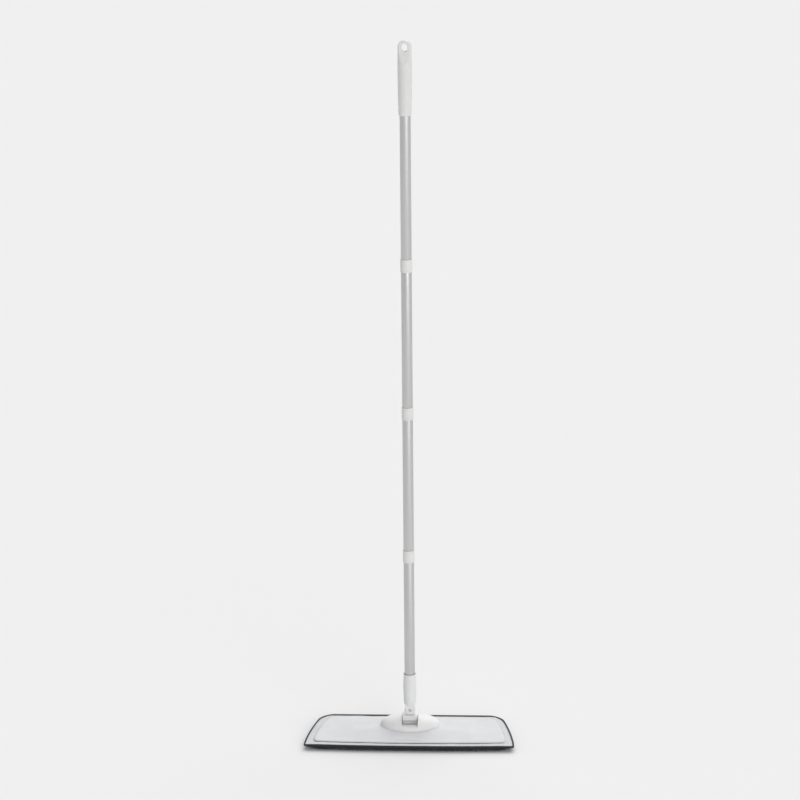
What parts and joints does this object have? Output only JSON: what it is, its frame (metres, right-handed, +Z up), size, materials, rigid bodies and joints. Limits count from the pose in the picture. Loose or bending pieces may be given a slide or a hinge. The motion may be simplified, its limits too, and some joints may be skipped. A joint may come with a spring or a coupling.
{
  "type": "flat mop",
  "caption": "Flat floor mop: a screw-together aluminium handle on a double-hinged head that carries a removable microfibre pad.",
  "frame": {"origin": "centre of the pad's underside, on the floor, straight below the upright handle's axis", "axes": "+Z up along the handle, +X along the pad's width, -Y towards the wide front edge of the head"},
  "size_m": [0.4042, 0.146, 1.355],
  "materials": {
    "grip_plastic": "satin moulded",
    "collar_plastic": "satin moulded",
    "neck_plastic": "satin moulded",
    "housing_plastic": "satin moulded",
    "plate_plastic": "satin moulded",
    "tube_aluminium": "fine brushed, clear anodised",
    "plug_plastic": "moulded",
    "pin_steel": "plain ground",
    "screw_steel": "zinc plated",
    "washer_nylon": "moulded",
    "hook_nylon": "moulded hooks on tape",
    "backing_fabric": "brushed loop knit",
    "felt_core": "needled felt",
    "pile_microfibre": "microfibre pile",
    "binding_tape": "woven tape"
  },
  "bodies": {
    "pad": {"pad_pile": "pile_microfibre", "pad_core": "felt_core", "pad_backing": "backing_fabric", "pad_binding": "binding_tape"},
    "head": {"base_plate": "plate_plastic", "pivot_housing": "housing_plastic", "housing_screws": "screw_steel", "hook_strip_front": "hook_nylon", "hook_strip_back": "hook_nylon", "pitch_pin": "pin_steel", "friction_washers": "washer_nylon"},
    "cross": {"cross_block": "neck_plastic"},
    "neck": {"neck_socket": "neck_plastic", "roll_pin": "pin_steel"},
    "bottom_section": {"tube_4": "tube_aluminium", "foot_plug": "plug_plastic", "thread_plug_3": "plug_plastic"},
    "lower_section": {"tube_3": "tube_aluminium", "joint_collar_3": "collar_plastic", "thread_plug_2": "plug_plastic"},
    "upper_section": {"tube_2": "tube_aluminium", "joint_collar_2": "collar_plastic", "thread_plug_1": "plug_plastic"},
    "top_section": {"tube_1": "tube_aluminium", "joint_collar_1": "collar_plastic", "grip": "grip_plastic"}
  },
  "joints": [
    {"name": "pad_peel", "type": "slide", "parent": "pad", "child": "head", "axis": [0, 0, 1], "range_m": [0, 0.04]},
    {"name": "handle_pitch", "type": "hinge", "parent": "head", "child": "cross", "pos_m": [0, 0, 0.0375], "axis": [1, 0, 0], "range_deg": [-75, 75]},
    {"name": "handle_roll", "type": "hinge", "parent": "cross", "child": "neck", "pos_m": [0, 0, 0.058], "axis": [0, 1, 0], "range_deg": [-45, 45]},
    {"name": "foot_unscrew", "type": "slide", "parent": "neck", "child": "bottom_section", "axis": [0, 0, 1], "range_m": [0, 0.055]},
    {"name": "low_joint_unscrew", "type": "slide", "parent": "bottom_section", "child": "lower_section", "axis": [0, 0, 1], "range_m": [0, 0.028]},
    {"name": "middle_joint_unscrew", "type": "slide", "parent": "lower_section", "child": "upper_section", "axis": [0, 0, 1], "range_m": [0, 0.028]},
    {"name": "top_joint_unscrew", "type": "slide", "parent": "upper_section", "child": "top_section", "axis": [0, 0, 1], "range_m": [0, 0.028]}
  ]
}
